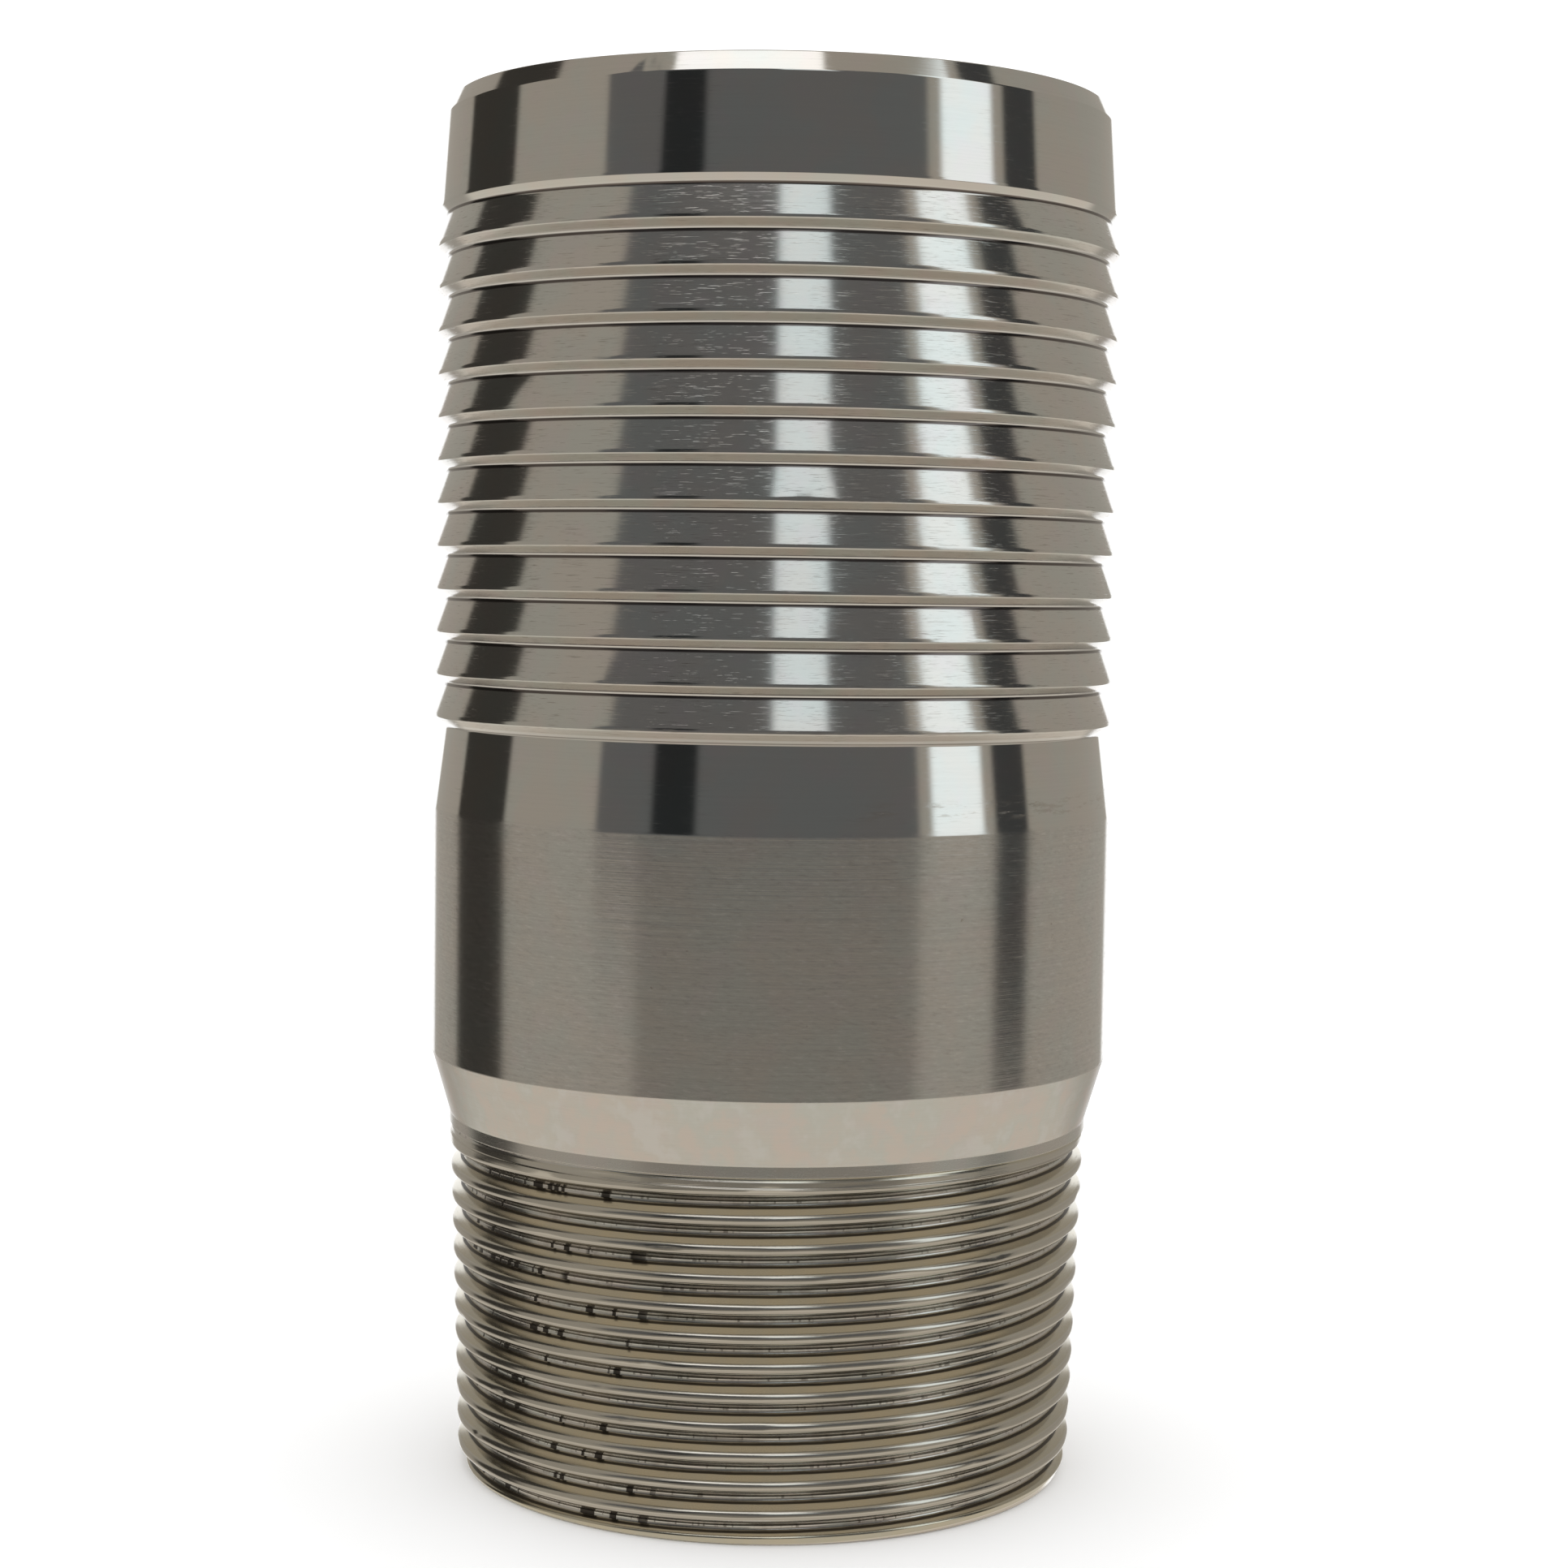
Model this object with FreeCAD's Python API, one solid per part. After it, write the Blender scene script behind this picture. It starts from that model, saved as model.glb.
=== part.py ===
import FreeCAD, Part
import math
import os

# Combination hose nipple: one piece of steel, bored through, with a tapered
# pipe thread at its lower end and a serrated hose shank at its upper end.
# Millimetres, +Z up along the bore. Origin: bore axis, lower (thread) end face.

# ---- overall ----
overall_length = 155.4      # thread end face to hose end face
bore_d = 62.7               # straight through bore
bore_break = 0.8            # 45 degree break at both bore mouths

# ---- body ----
body_d = 77.5               # plain cylinder, also the diameter over the barb crests
body_bottom_z = 47.8        # foot of the plain cylinder, top of the shoulder cone
body_top_z = 75.4           # head of the plain cylinder, start of the relief cone

# ---- neck and shoulder ----
neck_d = 73.3               # short plain neck above the thread
neck_top_z = 40.7           # where the shoulder cone meets the neck
neck_bottom_z = 39.45       # the neck's lower edge, above the thread
relief_d = 72.9             # shallow turned relief just under the neck
relief_bottom_z = 38.35     # where the relief runs into the last thread crest

# ---- hose shank ----
barb_count = 12
barb_pitch = 4.77
barb_first_z = 138.54       # middle of the uppermost barb's crest land
barb_root_d = 75.2          # bottom of the undercuts between barbs
barb_land = 0.36            # width of each barb's crest land, along the axis
barb_undercut = 0.97        # axial length of each barb's steep lower face
relief_root_z = 84.75       # lower end of the last barb's undercut

# ---- pilot nose above the barbs ----
nose_root_z = 141.95        # end of the undercut below the nose
nose_lip_z = 142.85         # lower edge of the nose
nose_lip_d = 76.7
nose_top_z = 153.3          # lower edge of the end chamfer
nose_top_d = 75.3
nose_rim_d = 73.4           # outer edge of the hose end face

# ---- tapered pipe thread, 2-1/2 inch size, 8 threads per inch ----
thread_pitch = 25.4 / 8.0
taper = 1.0 / 16.0          # on diameter
crest_d0 = 70.84            # crest diameter, projected to the end face
crest_land = 0.85
root_flat = 0.45
flank_half_angle = 30.0
thread_chamfer_z = 2.0      # axial length of the lead chamfer
thread_rim_d = 69.0         # outer edge of the thread end face
groove_phase_z = 2.40       # height of the groove's root where it crosses the +X side
runout_turns = 0.6          # the groove lifts out of the metal over this part of a turn

V = FreeCAD.Vector


def crest_r(z):
    return crest_d0 / 2.0 + z * taper / 2.0


def lathe(points):
    """Solid of revolution about Z of a closed (r, z) outline."""
    pts = [V(r, 0, z) for r, z in points]
    pts.append(pts[0])
    face = Part.Face(Part.makePolygon(pts))
    return face.revolve(V(0, 0, 0), V(0, 0, 1), 360)


def blank():
    r_bore = bore_d / 2.0
    r_body = body_d / 2.0
    r_root = barb_root_d / 2.0
    p = []
    # bore, from the lower mouth to the upper mouth, is the last side of the loop
    p.append((r_bore + bore_break, 0.0))
    p.append((thread_rim_d / 2.0, 0.0))
    p.append((crest_r(thread_chamfer_z), thread_chamfer_z))
    p.append((crest_r(relief_bottom_z - 0.1), relief_bottom_z - 0.1))
    p.append((relief_d / 2.0, relief_bottom_z + 0.06))
    p.append((relief_d / 2.0, neck_bottom_z - 0.1))
    p.append((neck_d / 2.0, neck_bottom_z))
    p.append((neck_d / 2.0, neck_top_z))
    p.append((r_body, body_bottom_z))
    p.append((r_body, body_top_z))
    p.append((r_root, relief_root_z))
    for i in range(barb_count - 1, -1, -1):
        zc = barb_first_z - i * barb_pitch
        if i < barb_count - 1:
            p.append((r_root, zc - barb_land / 2.0 - barb_undercut))
        p.append((r_body, zc - barb_land / 2.0))
        p.append((r_body, zc + barb_land / 2.0))
    p.append((r_root, nose_root_z))
    p.append((nose_lip_d / 2.0, nose_lip_z))
    p.append((nose_lip_d / 2.0, nose_lip_z + 0.3))
    p.append((nose_top_d / 2.0, nose_top_z))
    p.append((nose_rim_d / 2.0, overall_length))
    p.append((r_bore + bore_break, overall_length))
    p.append((r_bore, overall_length - bore_break))
    p.append((r_bore, bore_break))
    return lathe(p)


def sweep(path, r0, z0, depth):
    """Groove cutter: a trapezoid carried along a helix, upright all the way."""
    t = math.tan(math.radians(flank_half_angle))
    a = root_flat / 2.0
    b = a + depth * t
    pts = [V(r0, 0, z0 - a), V(r0 + depth, 0, z0 - b),
           V(r0 + depth, 0, z0 + b), V(r0, 0, z0 + a)]
    pts.append(pts[0])
    shell = Part.BRepOffsetAPI.MakePipeShell(path)
    shell.setBiNormalMode(V(0, 0, 1))
    shell.add(Part.makePolygon(pts))
    shell.build()
    shell.makeSolid()
    cutter = shell.shape()
    if cutter.Volume < 0:
        cutter.reverse()
    return cutter


def groove():
    t = math.tan(math.radians(flank_half_angle))
    full_depth = ((thread_pitch - crest_land - root_flat) / 2.0) / t
    cut_depth = full_depth + 0.5
    z_start = groove_phase_z - 2 * thread_pitch
    turns = 13
    length = turns * thread_pitch
    r_start = crest_r(z_start) - full_depth
    angle = math.degrees(math.atan(taper / 2.0))
    main_path = Part.makeHelix(thread_pitch, length, r_start, angle)
    main_path.translate(V(0, 0, z_start))
    main = sweep(main_path, r_start, z_start, cut_depth)

    z_out = z_start + length
    r_out = r_start + length * taper / 2.0
    out_len = runout_turns * thread_pitch
    out_angle = math.degrees(math.atan((full_depth + 0.15) / out_len))
    out_path = Part.makeHelix(thread_pitch, out_len, r_out, out_angle)
    out_path.translate(V(0, 0, z_out))
    out = sweep(out_path, r_out, z_out, cut_depth)
    return main, out


def build():
    solid = blank()
    main, out = groove()
    solid = solid.cut(main)
    solid = solid.cut(out)
    solids = solid.Solids
    solids.sort(key=lambda s: s.Volume)
    return solids[-1], len(solids)


os.makedirs("parts", exist_ok=True)
nipple, n_solids = build()
print("solids", n_solids, "valid", nipple.isValid(), "closed", nipple.isClosed(),
      "volume_mm3", round(nipple.Volume, 1), "faces", len(nipple.Faces))
bb = nipple.optimalBoundingBox()
print("box", round(bb.XMin, 3), round(bb.YMin, 3), round(bb.ZMin, 3),
      round(bb.XMax, 3), round(bb.YMax, 3), round(bb.ZMax, 3))
nipple.exportStep("parts/combination_nipple.step")
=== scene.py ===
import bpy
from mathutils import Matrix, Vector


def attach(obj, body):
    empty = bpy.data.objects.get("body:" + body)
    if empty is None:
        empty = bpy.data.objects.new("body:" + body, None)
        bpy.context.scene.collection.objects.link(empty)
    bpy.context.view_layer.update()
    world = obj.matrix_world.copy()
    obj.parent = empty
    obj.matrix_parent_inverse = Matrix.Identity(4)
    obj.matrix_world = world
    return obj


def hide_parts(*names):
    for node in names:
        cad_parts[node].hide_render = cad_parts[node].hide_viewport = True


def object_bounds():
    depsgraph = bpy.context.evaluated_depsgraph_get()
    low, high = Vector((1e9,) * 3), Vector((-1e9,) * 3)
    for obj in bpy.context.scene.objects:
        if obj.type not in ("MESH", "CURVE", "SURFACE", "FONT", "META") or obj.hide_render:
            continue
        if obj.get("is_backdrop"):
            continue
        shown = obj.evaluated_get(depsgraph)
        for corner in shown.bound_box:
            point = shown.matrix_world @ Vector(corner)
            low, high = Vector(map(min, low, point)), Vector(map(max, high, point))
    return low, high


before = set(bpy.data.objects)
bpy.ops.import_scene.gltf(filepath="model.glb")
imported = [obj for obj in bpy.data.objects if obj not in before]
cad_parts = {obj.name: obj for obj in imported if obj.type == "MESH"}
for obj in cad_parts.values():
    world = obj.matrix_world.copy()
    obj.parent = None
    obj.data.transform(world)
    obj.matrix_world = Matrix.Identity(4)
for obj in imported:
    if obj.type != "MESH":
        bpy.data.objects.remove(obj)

import math

import bpy
import numpy as np
from mathutils import Matrix

FIRST_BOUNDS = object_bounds()

# Millimetres throughout, and metres only where a mesh is handed to Blender.
MM = 0.001
TAU = 2.0 * math.pi
COLS = 216                     # columns around the part

# ---- the part's own dimensions, as in the CAD ----
OVERALL = 155.4
BORE_R = 31.35
BORE_BREAK = 0.8
BODY_R = 38.75
SKIN_R = 38.725                 # nothing stands out further than this
BODY_LO, BODY_HI = 47.8, 75.4
NECK_R, NECK_LO, NECK_HI = 36.65, 39.45, 40.7
RELIEF_R, RELIEF_LO = 36.45, 38.35
BARBS, BARB_PITCH, BARB_TOP = 12, 4.77, 138.54
BARB_ROOT_R, BARB_LAND, BARB_UNDER = 37.6, 0.36, 0.97
CONE_ROOT_Z = 84.75
NOSE_ROOT_Z, NOSE_LIP_Z, NOSE_LIP_R = 141.95, 142.85, 38.35
NOSE_TOP_Z, NOSE_TOP_R, NOSE_RIM_R = 153.3, 37.65, 36.7
PITCH = 25.4 / 8.0
CREST_R0, TAPER = 35.42, 1.0 / 32.0
LAND, FLAT = 0.85, 0.45
TAN30 = math.tan(math.radians(30.0))
DEPTH = ((PITCH - LAND - FLAT) / 2.0) / TAN30
LEAD_Z, LEAD_R = 2.0, 34.5
PHASE = 2.40                   # groove root height on the +X side
OUT_TURNS = 0.6                # the groove lifts out over this part of a turn
OUT_RISE = DEPTH + 0.15

rng = np.random.default_rng(23)


# ------------------------------------------------------------------ shape
def crest_r(z):
    return CREST_R0 + z * TAPER


def smin(a, b, k):
    h = np.clip(0.5 + 0.5 * (b - a) / k, 0.0, 1.0)
    return b * (1 - h) + a * h - k * h * (1 - h)


def smooth(x, lo, hi):
    t = np.clip((x - lo) / (hi - lo), 0.0, 1.0)
    return t * t * (3 - 2 * t)


# Small dents from handling, on the crests of the barbs and of the thread:
# height, angle, size along the crest, size across it, depth.
DENTS = []
for _ in range(34):
    i = int(rng.integers(0, BARBS))
    DENTS.append((BARB_TOP - i * BARB_PITCH + float(rng.uniform(-0.25, 0.35)),
                  float(rng.uniform(0, TAU)), float(rng.uniform(1.0, 3.2)),
                  float(rng.uniform(0.2, 0.4)), float(rng.uniform(0.02, 0.075))))
for _ in range(60):
    a = float(rng.uniform(0, TAU))
    k = int(rng.integers(0, 12))
    z = PHASE + PITCH * (k + 0.5 + a / TAU) + float(rng.uniform(-0.35, 0.35))
    if 1.0 < z < 38.0:
        DENTS.append((z, a, float(rng.uniform(0.9, 2.6)), float(rng.uniform(0.25, 0.5)),
                      float(rng.uniform(0.03, 0.13))))
for _ in range(14):
    DENTS.append((float(rng.choice([OVERALL - 0.3, NOSE_TOP_Z, NOSE_LIP_Z + 0.1, BODY_LO + 0.2])),
                  float(rng.uniform(0, TAU)), float(rng.uniform(1.0, 2.6)),
                  float(rng.uniform(0.25, 0.5)), float(rng.uniform(0.02, 0.06))))


def dents(z, a):
    out = np.zeros_like(z)
    for dz, da, sa, sz, depth in DENTS:
        near = np.abs(z - dz) < 3 * sz
        if not near.any():
            continue
        turn = (a[near] - da + math.pi) % TAU - math.pi
        out[near] += depth * np.exp(-((z[near] - dz) / sz) ** 2 - (turn * 38.0 / sa) ** 2)
    return out


def blank_r(z):
    """The turned outline under the thread, before the groove is cut."""
    lead = LEAD_R + (crest_r(LEAD_Z) - LEAD_R) * z / LEAD_Z
    r = smin(lead, crest_r(z), 0.22)
    r = r + (RELIEF_R - r) * smooth(z, RELIEF_LO - 0.12, RELIEF_LO + 0.10)
    return r


def groove_r(z, a):
    """How far out the thread groove's walls stand, at each height and angle."""
    best = np.full_like(z, 1e3)
    turn = a / TAU
    base = np.floor((z - PHASE) / PITCH - turn + 0.5)
    for step in (-1, 0, 1):
        k = base + step
        zg = PHASE + PITCH * (k + turn)
        done = np.maximum((k - 11) + turn, 0.0)
        root = crest_r(zg) - DEPTH + done * OUT_RISE / OUT_TURNS
        off = np.abs(z - zg)
        wall = 0.5 * ((off - FLAT / 2) + np.sqrt((off - FLAT / 2) ** 2 + 0.05 ** 2)) / TAN30
        best = np.minimum(best, root + wall)
    return best


def thread_r(z, a):
    r = smin(blank_r(z), groove_r(z, a), 0.50)
    ripple = 0.012 * np.sin(a * 7 + z * 3.1) + 0.010 * np.sin(a * 17 - z * 5.3)
    return r - 0.02 + np.minimum(ripple, 0.0) - dents(z, a)


def surface_normals(fn, z, a, r):
    e = 2e-3
    dz = (fn(z + e, a) - fn(z - e, a)) / (2 * e)
    da = (fn(z, a + e / 38.0) - fn(z, a - e / 38.0)) / (2 * e / 38.0)
    n = np.stack([np.ones_like(z), -da / r, -dz], -1)
    n /= np.linalg.norm(n, axis=-1, keepdims=True)
    c, s = np.cos(a), np.sin(a)
    return np.stack([n[..., 0] * c - n[..., 1] * s, n[..., 0] * s + n[..., 1] * c, n[..., 2]], -1)


def thread_rows():
    """Rows that follow the helix: 14 to each pitch, at the groove's own edges."""
    a = np.arange(COLS) * TAU / COLS
    rows = []
    for k in range(-2, 13):
        zg = PHASE + PITCH * (k + a / TAU)
        done = np.maximum((k - 11) + a / TAU, 0.0)
        root = crest_r(zg) - DEPTH + done * OUT_RISE / OUT_TURNS
        edge = {}
        for side in (-1, 1):
            lo = np.full(COLS, FLAT / 2)
            hi = np.full(COLS, PITCH / 2)
            for _ in range(30):
                mid = (lo + hi) / 2
                z = np.clip(zg + side * mid, 0.0, 38.2)
                inside = root + (mid - FLAT / 2) / TAN30 < blank_r(z)
                lo = np.where(inside, mid, lo)
                hi = np.where(inside, hi, mid)
            edge[side] = lo
        below, above = edge[-1], edge[1]
        half = PITCH / 2
        w = 0.21
        f = FLAT / 2
        lower = [half * np.ones(COLS),
                 np.minimum(below + w, half - 0.02), np.minimum(below + w * 0.3, half - 0.03),
                 np.maximum(below - w * 0.35, f + 0.05), np.maximum(below - w * 1.0, f + 0.045),
                 f + 0.5 * np.maximum(below - f - 0.1, 0.06), np.full(COLS, f + 0.035), np.full(COLS, f * 0.55)]
        upper = [np.full(COLS, f * 0.55), np.full(COLS, f + 0.035),
                 f + 0.5 * np.maximum(above - f - 0.1, 0.06), np.maximum(above - w * 1.0, f + 0.045),
                 np.maximum(above - w * 0.35, f + 0.05), np.minimum(above + w * 0.3, half - 0.03),
                 np.minimum(above + w, half - 0.02)]
        for o in lower:
            rows.append(zg - o)
        for o in upper:
            rows.append(zg + o)
    return a, np.array(rows), 15


def fillet(points):
    """Points (r, z, radius) of an outline, walked upward on the outside; each corner becomes an arc.
    Gives r, z and the outward normal of every ring."""
    out = []
    n = len(points)
    P = [np.array(p[:2], float) for p in points]
    for i in range(n):
        rad = points[i][2]
        if i == 0 or i == n - 1 or rad <= 0:
            for j in (i - 1, i + 1):
                if 0 <= j < n:
                    d = (P[i] - P[j]) if j < i else (P[j] - P[i])
                    d /= np.linalg.norm(d)
                    out.append((P[i][0], P[i][1], d[1], -d[0]))
            continue
        d0 = P[i] - P[i - 1]
        d1 = P[i + 1] - P[i]
        l0, l1 = np.linalg.norm(d0), np.linalg.norm(d1)
        d0, d1 = d0 / l0, d1 / l1
        ang = math.acos(max(-1.0, min(1.0, float(d0 @ d1))))
        cut = min(rad * math.tan(ang / 2), 0.49 * l0, 0.49 * l1)
        segs = max(1, int(round(ang / math.radians(24))))
        a0, b0 = P[i] - d0 * cut, P[i] + d1 * cut
        n0, n1 = np.array([d0[1], -d0[0]]), np.array([d1[1], -d1[0]])
        for s in range(segs + 1):
            t = s / segs
            # quadratic arc through the corner, close to a circle for these small turns
            q = (1 - t) ** 2 * a0 + 2 * t * (1 - t) * (P[i] * 0.94 + (a0 + b0) * 0.03) + t * t * b0
            m = n0 * (1 - t) + n1 * t
            m /= np.linalg.norm(m)
            out.append((q[0], q[1], m[0], m[1]))
    return out


def shank_outline():
    p = [(RELIEF_R, 39.0, 0), (RELIEF_R - 0.12, 39.2, 0.15), (RELIEF_R - 0.16, 39.36, 0.08),
         (NECK_R, NECK_LO + 0.06, 0.07),
         (NECK_R, NECK_HI, 0.25), (BODY_R, BODY_LO, 0.9), (BODY_R, BODY_HI, 2.2)]
    zr = CONE_ROOT_Z
    p.append((BARB_ROOT_R, zr, 0.35))
    for i in range(BARBS - 1, -1, -1):
        zc = BARB_TOP - i * BARB_PITCH
        if i < BARBS - 1:
            p.append((BARB_ROOT_R, zc - BARB_LAND / 2 - BARB_UNDER - 0.12, 0.5))
            p.append((BARB_ROOT_R + 0.04, zc - BARB_LAND / 2 - BARB_UNDER + 0.12, 0.3))
        p.append((BODY_R, zc - BARB_LAND / 2, 0.2))
        p.append((BODY_R, zc + BARB_LAND / 2, 0.7))
    p.append((BARB_ROOT_R, NOSE_ROOT_Z, 0.45))
    p.append((NOSE_LIP_R, NOSE_LIP_Z, 0.25))
    p.append((NOSE_LIP_R, NOSE_LIP_Z + 0.3, 0.6))
    p.append((NOSE_TOP_R, NOSE_TOP_Z, 0.45))
    p.append((NOSE_RIM_R, OVERALL, 0.22))
    p.append((BORE_R + BORE_BREAK, OVERALL, 0.15))
    p.append((BORE_R, OVERALL - BORE_BREAK, 0.2))
    p.append((BORE_R, BORE_BREAK, 0.2))
    p.append((BORE_R + BORE_BREAK, 0.0, 0.15))
    p.append((34.2 - DEPTH, 0.0, 0))
    return p


def build_mesh(name):
    co, nor, faces, uvs = [], [], [], []
    a = np.arange(COLS) * TAU / COLS
    c, s = np.cos(a), np.sin(a)
    uv_of = []

    def add(x, y, z, n, v):
        start = len(uv_of)
        for i in range(len(x)):
            co.append((float(x[i]), float(y[i]), float(z[i])))
            nor.append((float(n[i][0]), float(n[i][1]), float(n[i][2])))
            uv_of.append(float(v[i]) if np.ndim(v) else float(v))
        return start

    def stitch(low, high):
        """low, high: vertex index for columns 0..COLS (the last is the seam)."""
        for j in range(COLS):
            q = [low[j], low[j + 1], high[j + 1], high[j]]
            u = [j / COLS, (j + 1) / COLS, (j + 1) / COLS, j / COLS]
            keep = [i for i in range(4) if q[i] != q[i - 1]]
            if len(keep) < 3:
                continue
            faces.append([q[i] for i in keep])
            uvs.append([(0.004 + 0.992 * u[i], uv_of[q[i]]) for i in keep])

    out_v = lambda z: 0.005 + 0.735 * z / OVERALL

    # the helical rows, from the end face to just under the relief
    _, rows, per = thread_rows()
    z_hi = 38.2
    rows = np.clip(rows, 0.0, z_hi)
    rows = np.maximum.accumulate(rows, axis=0)
    index = np.zeros(rows.shape, int)
    for j in range(COLS):
        zc = np.round(rows[:, j], 4)
        uniq, inv = np.unique(zc, return_inverse=True)
        aa = np.full(len(uniq), a[j])
        r = thread_r(uniq, aa)
        n = surface_normals(thread_r, uniq, aa, r)
        start = add(r * c[j], r * s[j], uniq, n, out_v(uniq))
        index[:, j] = start + inv
    R = rows.shape[0]
    for m in range(R - 1 - per):
        low = list(index[m]) + [index[m + per][0]]
        high = list(index[m + 1]) + [index[m + 1 + per][0]]
        stitch(low, high)
    # rows left over at the top of the last column strip all lie on the upper clamp
    bottom = [index[0][j] for j in range(COLS)]
    top = [index[-1][j] for j in range(COLS)]

    # level rows across the relief
    prev = top + [top[0]]
    for z in np.concatenate([np.arange(38.23, 38.50, 0.045), np.arange(38.54, 38.99, 0.09), [39.0]]):
        zz = np.full(COLS, z)
        r = thread_r(zz, a)
        n = surface_normals(thread_r, zz, a, r)
        start = add(r * c, r * s, zz, n, out_v(zz))
        ring = list(range(start, start + COLS)) + [start]
        stitch(prev, ring)
        prev = ring

    # turned rings from the neck up, over the hose end, down the bore, to the thread end face
    rings = fillet(shank_outline())
    for i, (r0, z0, nr, nz) in enumerate(rings[1:] if rings[0][:2] == rings[1][:2] else rings):
        outside = z0 > 39.0 and r0 > NOSE_RIM_R - 0.3 and nr > 0.02
        zz = np.full(COLS, z0)
        rr = np.full(COLS, r0)
        if outside:
            sag = dents(zz, a)
            wav = 0.006 * np.sin(a * 3 + z0 * 0.7) + 0.005 * np.sin(a * 8 - z0 * 1.9)
            rr = np.minimum(rr - 0.012 - sag + wav, SKIN_R)
        n = np.stack([nr * c, nr * s, np.full(COLS, nz)], -1)
        if outside:
            e = 0.02
            da = (dents(zz, a + e / 38) - dents(zz, a - e / 38)) / (2 * e)
            dz = (dents(zz + e, a) - dents(zz - e, a)) / (2 * e)
            n = n + np.stack([-s * da * nr, c * da * nr, dz * nr], -1)
            n /= np.linalg.norm(n, axis=1, keepdims=True)
        if r0 >= NOSE_RIM_R - 0.01 and nr > 0.02:
            v = out_v(z0)
        elif z0 > OVERALL - 0.01:
            v = 0.745 + 0.02 * (NOSE_RIM_R - r0) / 6.0
        elif z0 < 0.01:
            v = 0.975 + 0.02 * (r0 - BORE_R) / 3.0
        else:
            v = 0.77 + 0.20 * (OVERALL - z0) / OVERALL
        start = add(rr * c, rr * s, zz, n, v)
        ring = list(range(start, start + COLS)) + [start]
        stitch(prev, ring)
        prev = ring
    stitch(prev, bottom + [bottom[0]])

    mesh = bpy.data.meshes.new(name)
    mesh.from_pydata([(x * MM, y * MM, z * MM) for x, y, z in co], [], faces)
    mesh.polygons.foreach_set("use_smooth", [True] * len(mesh.polygons))
    layer = mesh.uv_layers.new(name="OFBake")
    flat = [t for face in uvs for t in face]
    layer.data.foreach_set("uv", np.array(flat, np.float32).ravel())
    mesh.update()
    mesh.normals_split_custom_set_from_vertices(nor)
    obj = bpy.data.objects.new(name, mesh)
    bpy.context.scene.collection.objects.link(obj)
    return obj


# --------------------------------------------------------------- node help
class Tree:
    def __init__(self, tree):
        self.t = tree

    def new(self, kind, **props):
        n = self.t.nodes.new(kind)
        for k, v in props.items():
            setattr(n, k, v)
        return n

    def put(self, socket, value):
        if isinstance(value, bpy.types.NodeSocket):
            self.t.links.new(value, socket)
        else:
            socket.default_value = value

    def math(self, op, a, b=None, c=None, clamp=False):
        n = self.new("ShaderNodeMath", operation=op, use_clamp=clamp)
        for i, v in enumerate((a, b, c)):
            if v is not None:
                self.put(n.inputs[i], v)
        return n.outputs[0]

    def vec(self, x, y, z):
        n = self.new("ShaderNodeCombineXYZ")
        for i, v in enumerate((x, y, z)):
            self.put(n.inputs[i], v)
        return n.outputs[0]

    def step(self, x, lo, hi, a=0.0, b=1.0):
        n = self.new("ShaderNodeMapRange", interpolation_type="SMOOTHSTEP")
        self.put(n.inputs["Value"], x)
        n.inputs["From Min"].default_value = lo
        n.inputs["From Max"].default_value = hi
        n.inputs["To Min"].default_value = a
        n.inputs["To Max"].default_value = b
        return n.outputs["Result"]

    def mix(self, f, a, b, blend="MIX"):
        n = self.new("ShaderNodeMix", data_type="RGBA", blend_type=blend)
        self.put(n.inputs["Factor"], f)
        self.put(n.inputs[6], a)
        self.put(n.inputs[7], b)
        return n.outputs[2]

    def noise(self, vector, scale, detail=2.0, rough=0.5, dims="3D"):
        n = self.new("ShaderNodeTexNoise", noise_dimensions=dims)
        self.put(n.inputs["Vector"], vector)
        n.inputs["Scale"].default_value = scale
        n.inputs["Detail"].default_value = detail
        n.inputs["Roughness"].default_value = rough
        return n.outputs["Fac"] if "Fac" in n.outputs else n.outputs[0]


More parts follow.
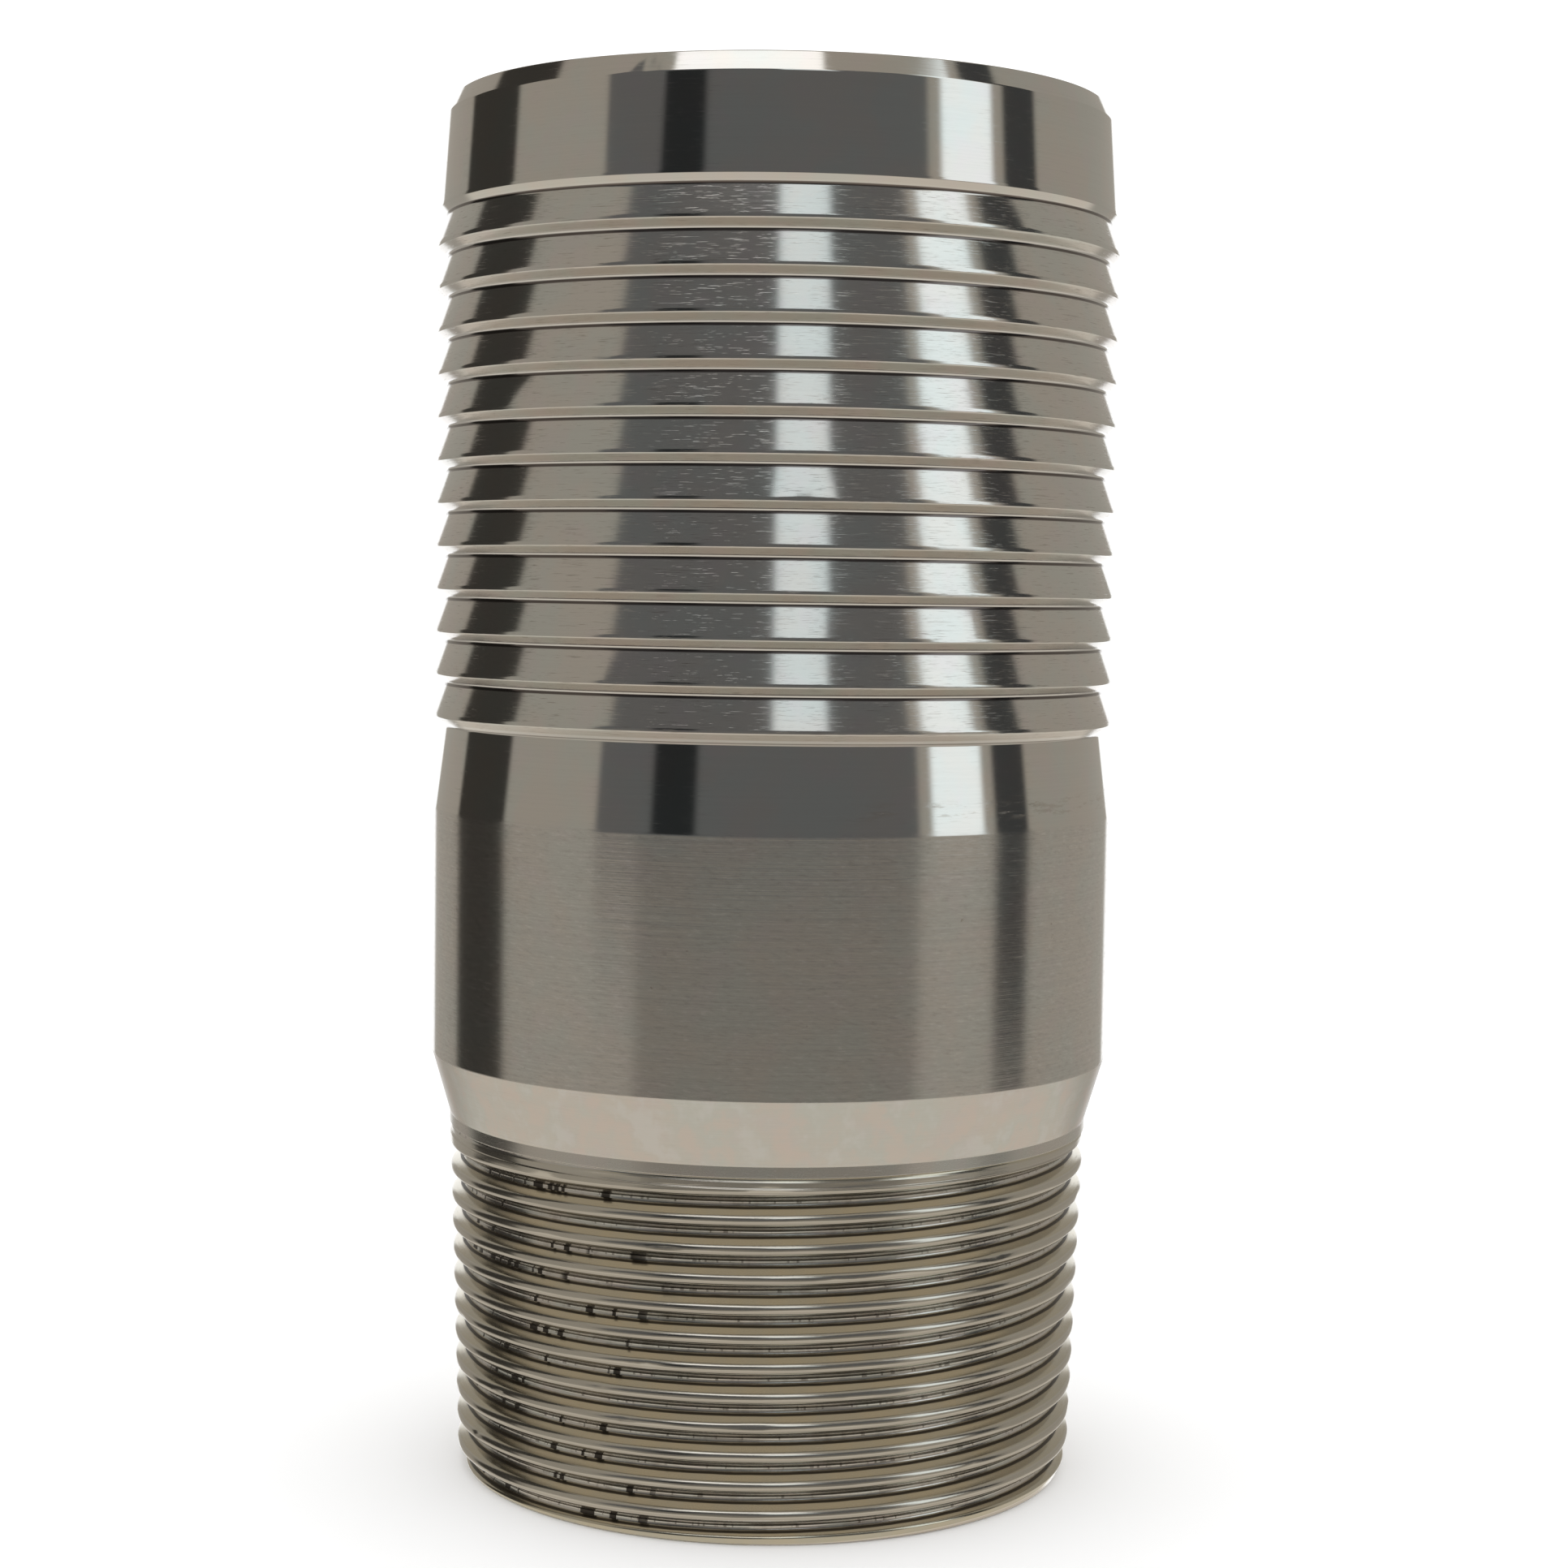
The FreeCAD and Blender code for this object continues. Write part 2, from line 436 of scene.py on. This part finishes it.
# ---------------------------------------------------------------- material
def steel_material():
    m = bpy.data.materials.new("plated_steel")
    m.use_nodes = True
    m.node_tree.nodes.clear()
    t = Tree(m.node_tree)
    coord = t.new("ShaderNodeTexCoord").outputs["Object"]
    sep = t.new("ShaderNodeSeparateXYZ")
    t.put(sep.inputs[0], coord)
    x = t.math("MULTIPLY", sep.outputs[0], 1000.0)
    y = t.math("MULTIPLY", sep.outputs[1], 1000.0)
    z = t.math("MULTIPLY", sep.outputs[2], 1000.0)
    r = t.math("SQRT", t.math("ADD", t.math("MULTIPLY", x, x), t.math("MULTIPLY", y, y)))
    ux, uy = t.math("DIVIDE", x, r), t.math("DIVIDE", y, r)

    turn = t.math("DIVIDE", t.math("ARCTAN2", y, x), TAU)
    outside = t.step(r, 32.6, 33.2)
    # depth below the thread crest, and masks for the zones along the axis
    crest = t.math("ADD", t.math("MULTIPLY", z, TAPER), CREST_R0)
    depth = t.math("SUBTRACT", crest, r)
    in_thread = t.math("MULTIPLY", t.step(z, 39.5, 39.3), outside)
    in_neck = t.math("MULTIPLY", t.step(z, 39.3, 39.5), t.step(z, 41.0, 40.6))
    in_shoulder = t.math("MULTIPLY", t.step(z, 40.6, 41.0), t.step(z, 48.0, 47.6))
    in_body = t.math("MULTIPLY", t.step(z, 47.6, 48.0), t.step(z, 75.9, 75.0))
    in_barbs = t.math("MULTIPLY", t.step(z, 84.6, 85.0), t.step(z, 142.4, 142.0))
    in_neck, in_shoulder, in_body, in_barbs = [t.math("MULTIPLY", zone, outside) for zone in (in_neck, in_shoulder, in_body, in_barbs)]

    # turning lines: stretched far around the axis, fine along it
    feed = t.math("ADD", z, r)
    ring = t.vec(t.math("MULTIPLY", ux, 1.2), t.math("MULTIPLY", uy, 1.2), t.math("MULTIPLY", feed, 6.0))
    lines = t.noise(ring, 1.0, 3.0, 0.65)
    ring2 = t.vec(t.math("MULTIPLY", ux, 0.7), t.math("MULTIPLY", uy, 0.7), t.math("MULTIPLY", feed, 1.7))
    bands = t.noise(ring2, 1.0, 2.0, 0.5)
    # short bright and dark drag marks that run around the part
    drag_v = t.vec(t.math("MULTIPLY", ux, 14.0), t.math("MULTIPLY", uy, 14.0), t.math("MULTIPLY", z, 11.0))
    drag = t.noise(drag_v, 1.0, 2.0, 0.6)
    drag_hi = t.step(drag, 0.60, 0.74)
    drag_lo = t.step(drag, 0.40, 0.27)
    # finer, broken speckle
    speck_v = t.vec(t.math("MULTIPLY", ux, 38.0), t.math("MULTIPLY", uy, 38.0), t.math("MULTIPLY", z, 1.6))
    speck = t.noise(speck_v, 1.0, 3.0, 0.6)
    # slow stain and passivate tint
    slow = t.noise(t.vec(t.math("MULTIPLY", ux, 5.0), t.math("MULTIPLY", uy, 5.0), t.math("MULTIPLY", z, 0.12)), 1.0, 3.0, 0.55)
    slow2 = t.noise(t.vec(t.math("ADD", t.math("MULTIPLY", ux, 9.0), 7.0), t.math("MULTIPLY", uy, 9.0), t.math("MULTIPLY", z, 0.25)), 1.0, 2.0, 0.5)

    base = t.mix(t.step(slow, 0.38, 0.62), (0.615, 0.585, 0.545, 1), (0.585, 0.595, 0.565, 1))
    base = t.mix(t.math("MULTIPLY", t.step(slow2, 0.50, 0.68), 0.35), base, (0.63, 0.565, 0.565, 1))
    base = t.mix(t.math("MULTIPLY", t.step(lines, 0.35, 0.65), t.math("ADD", 0.16, t.math("MULTIPLY", in_body, 0.34))), base, (0.52, 0.51, 0.49, 1))
    # broken brush marks on the body, slightly aslant
    brush_v = t.vec(t.math("MULTIPLY", ux, 30.0), t.math("MULTIPLY", uy, 30.0), t.math("ADD", t.math("MULTIPLY", z, 3.4), t.math("MULTIPLY", turn, 60.0)))
    brush = t.noise(brush_v, 1.0, 3.0, 0.7)
    base = t.mix(t.math("MULTIPLY", in_body, t.step(brush, 0.52, 0.70, 0.0, 0.45)), base, (0.44, 0.42, 0.40, 1))
    base = t.mix(t.math("MULTIPLY", in_body, t.step(brush, 0.46, 0.30, 0.0, 0.45)), base, (0.72, 0.71, 0.69, 1))
    base = t.mix(t.math("MULTIPLY", drag_lo, t.math("ADD", t.math("MULTIPLY", in_barbs, 0.60), 0.06)), base, (0.30, 0.27, 0.24, 1))

    # thread: where a point stands in its own turn of the groove, -0.5 to 0.5 from crest to crest
    along = t.math("ADD", t.math("SUBTRACT", t.math("DIVIDE", t.math("SUBTRACT", z, PHASE), PITCH), turn), 0.5)
    lap = t.math("FLOOR", along)
    zeta = t.math("SUBTRACT", t.math("FRACT", along), 0.5)
    cut = t.math("MULTIPLY", in_thread, t.step(depth, 0.10, 0.35))
    upward = t.math("MULTIPLY", cut, t.step(zeta, -0.075, -0.095))
    downward = t.math("MULTIPLY", cut, t.step(zeta, 0.060, 0.085))
    floor_of = t.math("MULTIPLY", in_thread, t.step(depth, DEPTH - 0.32, DEPTH - 0.16))
    # upward flanks get a yellow-olive tint, partly the steel's own tone and partly a painted reflection; downward
    # flanks get a lighter painted reflection tone
    base = t.mix(upward, base, t.mix(t.step(slow2, 0.35, 0.65), (0.525, 0.485, 0.385, 1), (0.50, 0.475, 0.395, 1)))
    base = t.mix(downward, base, (0.64, 0.60, 0.54, 1))
    top = t.math("MULTIPLY", in_thread, t.step(depth, 0.30, 0.10))
    base = t.mix(top, base, (0.53, 0.505, 0.45, 1))
    # painted shade: a darker band high on each downward flank, just under the crest above
    lip = t.math("MULTIPLY", in_thread, t.math("MULTIPLY", t.step(zeta, 0.30, 0.36), t.step(zeta, 0.475, 0.435)))
    base = t.mix(t.math("MULTIPLY", lip, 0.35), base, (0.32, 0.29, 0.26, 1))
    # painted shade: the groove floor is darkened, more strongly in patches
    patch = t.step(t.noise(t.vec(t.math("MULTIPLY", ux, 26.0), t.math("MULTIPLY", uy, 26.0), t.math("MULTIPLY", z, 0.9)), 1.0, 3.0, 0.6), 0.50, 0.68)
    base = t.mix(t.math("MULTIPLY", floor_of, t.math("ADD", 0.10, t.math("MULTIPLY", patch, 0.25))), base, (0.25, 0.22, 0.18, 1))
    # painted shade: a thin black line in the corner under each upward face
    wander = t.noise(t.vec(t.math("MULTIPLY", ux, 10.0), t.math("MULTIPLY", uy, 10.0), t.math("MULTIPLY", lap, 3.1)), 1.0, 2.0, 0.5)
    at = t.math("ADD", zeta, t.math("MULTIPLY", t.math("SUBTRACT", wander, 0.5), 0.020))
    corner = t.math("MULTIPLY", t.step(at, -0.172, -0.150), t.step(at, -0.090, -0.108))
    painted_corner_shade = t.math("MULTIPLY", t.math("MULTIPLY", in_thread, corner), t.step(depth, 0.5, 0.9, 0.0, 0.90))
    base = t.mix(painted_corner_shade, base, (0.035, 0.028, 0.022, 1))
    # chips torn by the tool, mostly on one side, and finer ticks along the groove floor
    chip_v = t.vec(t.math("MULTIPLY", ux, 21.0), t.math("MULTIPLY", uy, 21.0), t.math("MULTIPLY", lap, 5.3))
    chip = t.step(t.noise(chip_v, 1.0, 1.0, 0.4), 0.63, 0.66)
    side = t.math("MULTIPLY", t.step(uy, 0.05, -0.12), t.step(ux, -0.24, -0.42))
    side = t.math("ADD", side, t.math("MULTIPLY", t.step(uy, 0.75, 0.9), 0.8), clamp=True)
    chips = t.math("MULTIPLY", t.math("MULTIPLY", chip, side), t.math("MULTIPLY", t.step(zeta, -0.085, -0.065), t.step(zeta, 0.155, 0.125)))
    chips = t.math("MULTIPLY", t.math("MULTIPLY", chips, in_thread), t.step(z, 38.3, 37.9))
    tick_v = t.vec(t.math("MULTIPLY", ux, 70.0), t.math("MULTIPLY", uy, 70.0), t.math("MULTIPLY", lap, 7.7))
    tick = t.step(t.noise(tick_v, 1.0, 1.0, 0.4), 0.60, 0.70)
    ticks = t.math("MULTIPLY", t.math("MULTIPLY", tick, in_thread), t.math("MULTIPLY", t.step(zeta, -0.02, 0.01), t.step(zeta, 0.085, 0.065)))
    base = t.mix(t.math("MULTIPLY", ticks, 0.55), base, (0.08, 0.065, 0.05, 1))
    base = t.mix(t.math("MULTIPLY", chips, 0.93), base, (0.035, 0.028, 0.022, 1))
    # under each barb: painted shade, browner, below its edge, a paler line of painted reflection, then near-black
    # painted shade in the very corner
    under = t.math("MULTIPLY", t.math("FRACT", t.math("DIVIDE", t.math("SUBTRACT", BARB_TOP - BARB_LAND / 2, z), BARB_PITCH)), BARB_PITCH)
    edge = t.math("MULTIPLY", in_barbs, t.math("MULTIPLY", t.step(under, 0.08, 0.20), t.step(under, 0.74, 0.60)))
    base = t.mix(t.math("MULTIPLY", edge, 0.35), base, (0.42, 0.37, 0.33, 1))
    line = t.math("MULTIPLY", in_barbs, t.math("MULTIPLY", t.step(under, 0.66, 0.76), t.step(under, 1.02, 0.94)))
    base = t.mix(t.math("MULTIPLY", line, 0.85), base, (0.68, 0.67, 0.66, 1))
    barb_root = t.math("MULTIPLY", in_barbs, t.math("MULTIPLY", t.step(under, 0.96, 1.02), t.step(under, 1.34, 1.24)))
    base = t.mix(t.math("MULTIPLY", barb_root, 0.90), base, (0.09, 0.07, 0.065, 1))
    # faint broken smudges low on the relief cone, toward +X at the front
    smear_v = t.vec(t.math("MULTIPLY", ux, 8.0), t.math("MULTIPLY", uy, 8.0), t.math("MULTIPLY", z, 1.3))
    smear = t.step(t.noise(smear_v, 1.0, 4.0, 0.7), 0.52, 0.62)
    level = t.math("MULTIPLY", t.step(z, 76.4, 77.2), t.step(z, 79.2, 78.2))
    mark = t.math("MULTIPLY", t.math("MULTIPLY", smear, level), t.math("MULTIPLY", t.step(ux, 0.10, 0.35), t.step(uy, 0.1, -0.1)))
    base = t.mix(t.math("MULTIPLY", mark, 0.30), base, (0.36, 0.30, 0.24, 1))
    # short scuffs on the body, and slow blotches on the satin shoulder
    scuff_v = t.vec(t.math("MULTIPLY", ux, 17.0), t.math("MULTIPLY", uy, 17.0), t.math("MULTIPLY", z, 0.42))
    scuff = t.math("MULTIPLY", t.step(t.noise(scuff_v, 1.0, 4.0, 0.7), 0.70, 0.73), in_body)
    base = t.mix(t.math("MULTIPLY", scuff, 0.5), base, (0.30, 0.25, 0.20, 1))
    blotch = t.noise(t.vec(t.math("MULTIPLY", ux, 11.0), t.math("MULTIPLY", uy, 11.0), t.math("MULTIPLY", z, 0.30)), 1.0, 3.0, 0.6)
    base = t.mix(t.math("MULTIPLY", t.math("MULTIPLY", in_shoulder, t.step(blotch, 0.48, 0.66)), 0.55), base, (0.66, 0.575, 0.53, 1))
    base = t.mix(t.math("MULTIPLY", t.math("MULTIPLY", in_shoulder, t.step(blotch, 0.50, 0.34)), 0.45), base, (0.66, 0.665, 0.665, 1))

    rough = t.math("ADD", 0.075, t.math("MULTIPLY", in_body, 0.07))
    rough = t.math("ADD", rough, t.math("MULTIPLY", in_shoulder, 0.22))
    rough = t.math("ADD", rough, t.math("MULTIPLY", in_neck, 0.16))
    rough = t.math("ADD", rough, t.math("MULTIPLY", in_barbs, 0.03))
    rough = t.math("ADD", rough, t.math("MULTIPLY", in_thread, 0.085))
    rough = t.math("ADD", rough, t.math("MULTIPLY", t.math("SUBTRACT", 1.0, outside), 0.18))
    rough = t.math("ADD", rough, t.math("MULTIPLY", t.math("SUBTRACT", lines, 0.5), 0.08))
    rough = t.math("ADD", rough, t.math("MULTIPLY", drag_lo, 0.10))
    rough = t.math("ADD", rough, t.math("MULTIPLY", t.math("ADD", painted_corner_shade, t.math("ADD", chips, t.math("MULTIPLY", mark, 0.5))), 0.25), clamp=True)

    # relief of the turning lines and marks
    h = t.math("ADD", t.math("MULTIPLY", lines, 0.5), t.math("MULTIPLY", bands, 0.5))
    amount = t.math("ADD", 0.10, t.math("MULTIPLY", in_body, 0.5))
    amount = t.math("ADD", amount, t.math("MULTIPLY", in_barbs, 0.30))
    amount = t.math("ADD", amount, t.math("MULTIPLY", in_thread, 0.35))
    amount = t.math("ADD", amount, t.math("MULTIPLY", in_shoulder, 0.3))
    h = t.math("MULTIPLY", h, amount)
    h = t.math("ADD", h, t.math("MULTIPLY", drag_hi, t.math("ADD", t.math("MULTIPLY", in_barbs, 0.16), 0.02)))
    h = t.math("ADD", h, t.math("MULTIPLY", t.math("MULTIPLY", speck, in_thread), 0.20))
    h = t.math("SUBTRACT", h, t.math("MULTIPLY", chips, 0.8))
    bump = t.new("ShaderNodeBump")
    bump.inputs["Strength"].default_value = 0.55
    bump.inputs["Distance"].default_value = 0.00003
    t.put(bump.inputs["Height"], h)

    p = t.new("ShaderNodeBsdfPrincipled")
    t.put(p.inputs["Base Color"], base)
    p.inputs["Metallic"].default_value = 1.0
    t.put(p.inputs["Roughness"], rough)
    t.put(p.inputs["Normal"], bump.outputs["Normal"])
    out = t.new("ShaderNodeOutputMaterial")
    t.put(out.inputs["Surface"], p.outputs[0])
    return m


# ---------------------------------------------------------------- lighting
# Plain studio surroundings, mirrored by the steel: a warm grey room, soft white panels and
# dark flags. Azimuth 0 is the camera's side and + is toward +X. Each row is azimuth from, to,
# elevation from, to (degrees), brightness, and which of three plain tints it has.
WARM, NEUTRAL, COOL = (1.0, 0.93, 0.82), (1.0, 1.0, 1.0), (0.90, 0.97, 1.0)
ROOM = 0.42
CARDS = [
    (-60, 50, -5, 50, 0.15, NEUTRAL),       # darker room behind the camera
    (-45, 50, -30, -5, 0.27, WARM),         # table edge
    (-130, -100, -15, 50, 0.05, WARM),      # flag on the -X side
    (-40, -25, 0, 25, 0.03, COOL),          # narrow flag
    (0, 20, 25, 50, 1.10, COOL),            # panel over the camera
    (55, 75, 0, 50, 1.40, COOL),            # tall panel on the +X side
    (80, 95, -10, 50, 0.06, NEUTRAL),       # flag beside it
    (-50, 20, 50, 68, 1.60, NEUTRAL),       # overhead panel
    (-200, 200, -95, -20, 0.75, WARM),      # pale floor
    (160, 200, -95, 50, 1.30, NEUTRAL),     # white sweep behind
    (-200, -160, -95, 50, 1.30, NEUTRAL),
]


def studio_world():
    w = bpy.data.worlds.new("studio")
    w.use_nodes = True
    w.node_tree.nodes.clear()
    t = Tree(w.node_tree)
    sep = t.new("ShaderNodeSeparateXYZ")
    t.put(sep.inputs[0], t.new("ShaderNodeTexCoord").outputs["Generated"])
    az = t.math("ARCTAN2", sep.outputs[0], t.math("MULTIPLY", sep.outputs[1], -1.0))
    az = t.math("MULTIPLY", az, 180.0 / math.pi)
    el = t.math("MULTIPLY", t.math("ARCSINE", sep.outputs[2]), 180.0 / math.pi)

    col = tuple(ROOM * c for c in WARM) + (1.0,)
    for a0, a1, e0, e1, tone, tint in CARDS:
        across = t.math("MULTIPLY", t.step(az, a0 - 1.5, a0 + 1.5), t.step(az, a1 + 1.5, a1 - 1.5))
        up = t.math("MULTIPLY", t.step(el, e0 - 2.0, e0 + 2.0), t.step(el, e1 + 2.0, e1 - 2.0))
        col = t.mix(t.math("MULTIPLY", across, up), col, tuple(tone * c for c in tint) + (1.0,))

    path = t.new("ShaderNodeLightPath")
    glossy = t.new("ShaderNodeBackground")
    t.put(glossy.inputs["Color"], col)
    white = t.new("ShaderNodeBackground")
    white.inputs["Color"].default_value = (1.0, 1.0, 1.0, 1.0)
    white.inputs["Strength"].default_value = 1.3
    mix = t.new("ShaderNodeMixShader")
    t.put(mix.inputs[0], path.outputs["Is Glossy Ray"])
    t.put(mix.inputs[1], white.outputs[0])
    t.put(mix.inputs[2], glossy.outputs[0])
    out = t.new("ShaderNodeOutputWorld")
    t.put(out.inputs["Surface"], mix.outputs[0])
    w.cycles.sampling_method = "NONE"
    bpy.context.scene.world = w


def floor_plane():
    m = bpy.data.materials.new("pale_floor")
    m.use_nodes = True
    bsdf = m.node_tree.nodes["Principled BSDF"]
    t = Tree(m.node_tree)
    coord = t.new("ShaderNodeTexCoord").outputs["Object"]
    n = t.noise(coord, 9.0, 2.0, 0.5)
    t.put(bsdf.inputs["Base Color"], t.mix(t.step(n, 0.3, 0.7), (0.955, 0.955, 0.955, 1), (0.965, 0.965, 0.965, 1)))
    bsdf.inputs["Roughness"].default_value = 1.0
    bsdf.inputs["Specular IOR Level"].default_value = 0.0
    mesh = bpy.data.meshes.new("floor")
    s = 6.0
    mesh.from_pydata([(-s, -s, -0.0002), (s, -s, -0.0002), (s, s, -0.0002), (-s, s, -0.0002)], [], [(0, 1, 2, 3)])
    mesh.materials.append(m)
    o = bpy.data.objects.new("floor", mesh)
    bpy.context.scene.collection.objects.link(o)
    o.visible_glossy = False
    o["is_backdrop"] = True


def camera():
    yaw, pitch, roll = -0.0041, 0.0667, 0.0146
    right = np.array([math.cos(yaw), math.sin(yaw), 0.0])
    ahead = np.array([-math.sin(yaw), math.cos(yaw), 0.0])
    up0 = np.array([0.0, 0.0, 1.0])
    fwd = math.cos(pitch) * ahead - math.sin(pitch) * up0
    up = math.sin(pitch) * ahead + math.cos(pitch) * up0
    r2 = math.cos(roll) * right + math.sin(roll) * up
    u2 = math.cos(roll) * up - math.sin(roll) * right
    cam = bpy.data.cameras.new("camera")
    cam.sensor_fit = "HORIZONTAL"
    cam.sensor_width = 36.0
    cam.lens = 68.774
    cam.clip_start = 0.01
    o = bpy.data.objects.new("camera", cam)
    rows = np.stack([r2, u2, -fwd], 1)
    o.matrix_world = Matrix([list(rows[0]) + [0.0], list(rows[1]) + [-0.34499], list(rows[2]) + [0.10131], [0, 0, 0, 1]])
    bpy.context.scene.collection.objects.link(o)
    bpy.context.scene.camera = o


nipple = build_mesh("nipple_turned")
steel = steel_material()
nipple.data.materials.append(steel)
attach(nipple, "root")
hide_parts("combination_nipple")
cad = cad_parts["combination_nipple"]
cad.data.materials.clear()
cad.data.materials.append(steel)

studio_world()
floor_plane()
camera()
bpy.context.scene.view_settings.view_transform = "Standard"


def plain(b):
    if isinstance(b, dict):
        return {k: plain(v) for k, v in b.items()}
    if isinstance(b, (int, float, str)) or b is None:
        return b
    return [plain(v) for v in b]


{"after_load": plain(FIRST_BOUNDS), "before_finish": plain(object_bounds())}

nipple.data.calc_loop_triangles()
print("nipple triangles", len(nipple.data.loop_triangles))
